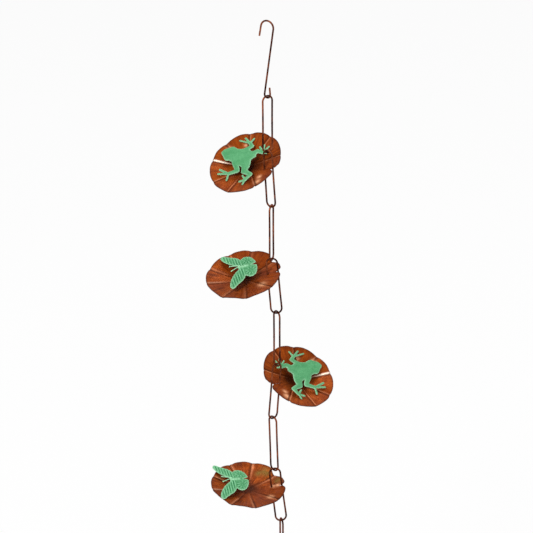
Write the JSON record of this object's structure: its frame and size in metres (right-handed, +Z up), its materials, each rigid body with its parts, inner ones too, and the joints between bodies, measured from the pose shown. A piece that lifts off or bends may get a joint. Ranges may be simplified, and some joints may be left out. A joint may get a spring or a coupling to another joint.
{
  "type": "rain chain",
  "caption": "Copper rain chain of long wire links with dished lily pads that carry frogs and butterflies, hung from a wire S-hook under a gutter.",
  "frame": {"origin": "inner top of the hook's upper bend, where the chain hangs on its bracket", "axes": "+Z up along the hanging chain, +Y away from the viewer of the picture, +X to the viewer's right"},
  "size_m": [0.2116, 0.1636, 0.9653],
  "materials": {
    "wire": "bare copper wire, darkened brown",
    "flamed_copper": "flame-toned copper sheet with darker edges, lacquered",
    "verdigris": "green patina on copper sheet, mottled"
  },
  "bodies": {
    "hook": {"s_hook": "wire"},
    "swinging_link_1": {"link_1": "wire"},
    "swinging_link_2": {"link_2": "wire", "lily_pad_1": "flamed_copper", "frog_1": "verdigris"},
    "swinging_link_3": {"link_3": "wire"},
    "swinging_link_4": {"link_4": "wire", "lily_pad_2": "flamed_copper", "butterfly_1": "verdigris", "butterfly_1_feelers": "verdigris"},
    "swinging_link_5": {"link_5": "wire"},
    "swinging_link_6": {"link_6": "wire", "lily_pad_3": "flamed_copper", "frog_2": "verdigris"},
    "swinging_link_7": {"link_7": "wire"},
    "swinging_link_8": {"link_8": "wire", "lily_pad_4": "flamed_copper", "butterfly_2": "verdigris", "butterfly_2_feelers": "verdigris"},
    "swinging_link_9": {"link_9": "wire"}
  },
  "joints": [
    {"name": "swing_1", "type": "hinge", "parent": "hook", "child": "swinging_link_1", "pos_m": [0, 0, -0.1278], "axis": [0.866, -0.5, 0], "range_deg": [-50, 50]},
    {"name": "swing_2", "type": "hinge", "parent": "swinging_link_1", "child": "swinging_link_2", "pos_m": [-0.0002, 0.00017, -0.21731], "axis": [0.7636, -0.6407, 0.0802], "range_deg": [-60, 60]},
    {"name": "swing_3", "type": "hinge", "parent": "swinging_link_2", "child": "swinging_link_3", "pos_m": [0.0057, -0.00478, -0.313], "axis": [0.7636, -0.6407, 0.0802], "range_deg": [-60, 60]},
    {"name": "swing_4", "type": "hinge", "parent": "swinging_link_3", "child": "swinging_link_4", "pos_m": [0.00541, -0.00477, -0.40251], "axis": [0.9954, -0.0348, 0.0889], "range_deg": [-60, 60]},
    {"name": "swing_5", "type": "hinge", "parent": "swinging_link_4", "child": "swinging_link_5", "pos_m": [0.01394, -0.00507, -0.49813], "axis": [0.9954, -0.0348, 0.0889], "range_deg": [-60, 60]},
    {"name": "swing_6", "type": "hinge", "parent": "swinging_link_5", "child": "swinging_link_6", "pos_m": [0.0142, -0.00485, -0.58765], "axis": [-0.7618, -0.6393, 0.1045], "range_deg": [-60, 60]},
    {"name": "swing_7", "type": "hinge", "parent": "swinging_link_6", "child": "swinging_link_7", "pos_m": [0.00651, -0.0113, -0.68313], "axis": [-0.7618, -0.6393, 0.1045], "range_deg": [-60, 60]},
    {"name": "swing_8", "type": "hinge", "parent": "swinging_link_7", "child": "swinging_link_8", "pos_m": [0.00882, -0.01434, -0.77256], "axis": [0.9886, 0.0865, 0.1236], "range_deg": [-60, 60]},
    {"name": "swing_9", "type": "hinge", "parent": "swinging_link_8", "child": "swinging_link_9", "pos_m": [0.02064, -0.01331, -0.86783], "axis": [0.9886, 0.0865, 0.1236], "range_deg": [-60, 60]}
  ]
}
